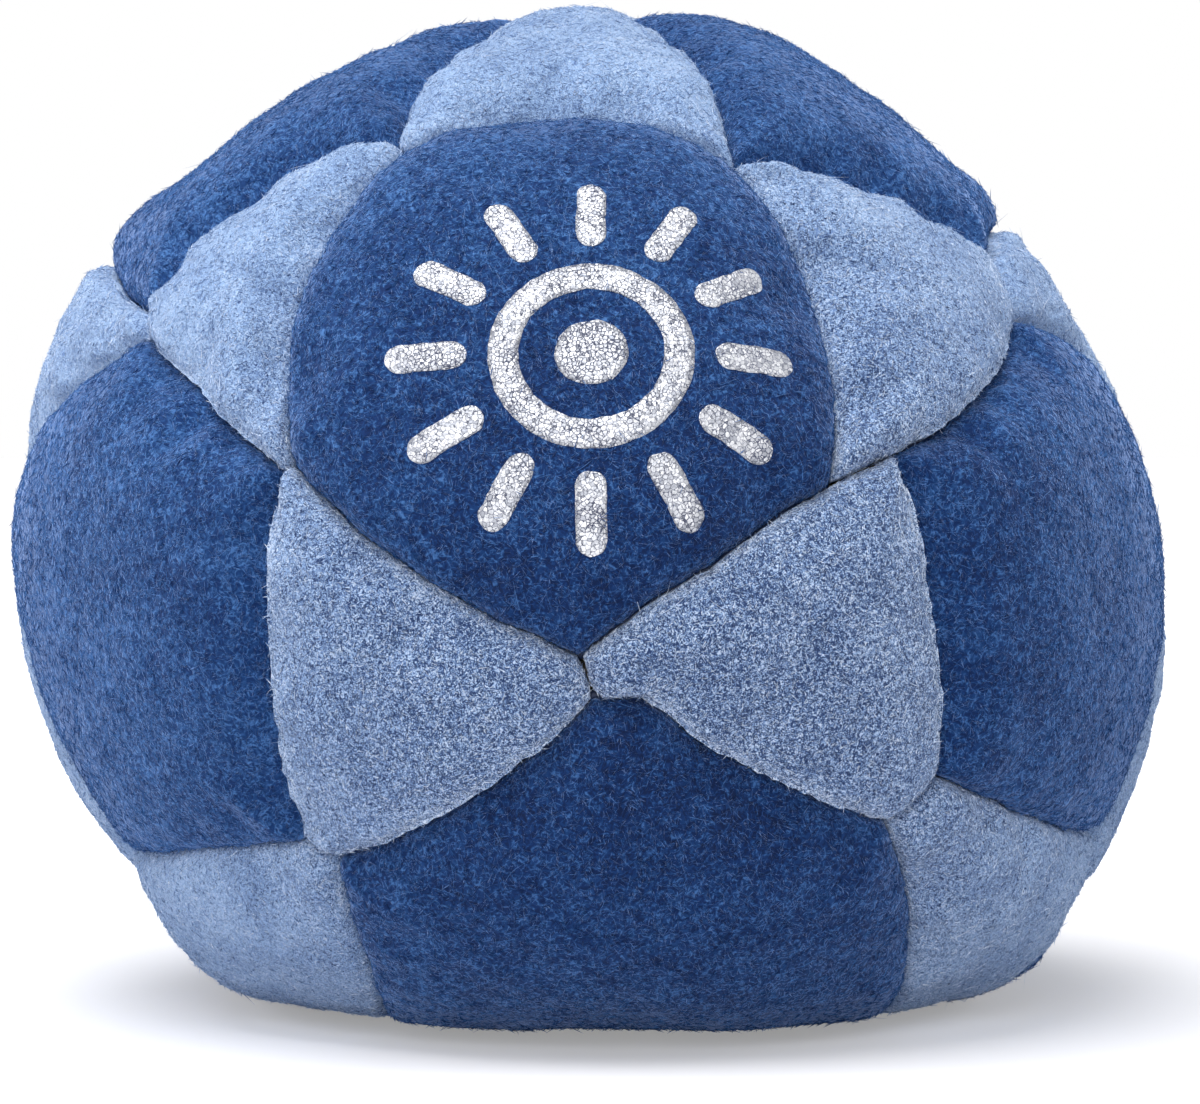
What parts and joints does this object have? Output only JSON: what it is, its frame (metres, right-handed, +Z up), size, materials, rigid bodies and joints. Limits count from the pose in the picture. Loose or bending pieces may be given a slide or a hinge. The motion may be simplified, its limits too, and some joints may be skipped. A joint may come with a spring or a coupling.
{
  "type": "footbag",
  "caption": "Small soft ball sewn from pentagon and triangle suede panels, filled with sand and slumped onto a flat seat.",
  "frame": {"origin": "middle of the bag's footprint, on the surface that it rests on", "axes": "+Z up; -Y towards the front pentagon, which leans back; +X to the right seen from the front"},
  "size_m": [0.0514, 0.0512, 0.045],
  "materials": {
    "dark_suede": "napped synthetic suede, matt",
    "light_suede": "napped synthetic suede, matt",
    "navy_thread": "bonded polyester thread, satin",
    "sand": "loose dry grains"
  },
  "bodies": {
    "root": {"pentagon_panel_01": "dark_suede", "pentagon_panel_02": "dark_suede", "pentagon_panel_03": "dark_suede", "pentagon_panel_04": "dark_suede", "pentagon_panel_05": "dark_suede", "pentagon_panel_06": "dark_suede", "pentagon_panel_07": "dark_suede", "pentagon_panel_08": "dark_suede", "pentagon_panel_09": "dark_suede", "pentagon_panel_10": "dark_suede", "pentagon_panel_11": "dark_suede", "pentagon_panel_12": "dark_suede", "triangle_panel_01": "light_suede", "triangle_panel_02": "light_suede", "triangle_panel_03": "light_suede", "triangle_panel_04": "light_suede", "triangle_panel_05": "light_suede", "triangle_panel_06": "light_suede", "triangle_panel_07": "light_suede", "triangle_panel_08": "light_suede", "triangle_panel_09": "light_suede", "triangle_panel_10": "light_suede", "triangle_panel_11": "light_suede", "triangle_panel_12": "light_suede", "triangle_panel_13": "light_suede", "triangle_panel_14": "light_suede", "triangle_panel_15": "light_suede", "triangle_panel_16": "light_suede", "triangle_panel_17": "light_suede", "triangle_panel_18": "light_suede", "triangle_panel_19": "light_suede", "triangle_panel_20": "light_suede", "seam_thread_01": "navy_thread", "seam_thread_02": "navy_thread", "seam_thread_03": "navy_thread", "seam_thread_04": "navy_thread", "seam_thread_05": "navy_thread", "seam_thread_06": "navy_thread", "seam_thread_07": "navy_thread", "seam_thread_08": "navy_thread", "seam_thread_09": "navy_thread", "seam_thread_10": "navy_thread", "seam_thread_11": "navy_thread", "seam_thread_12": "navy_thread", "sand_fill": "sand"}
  },
  "joints": []
}
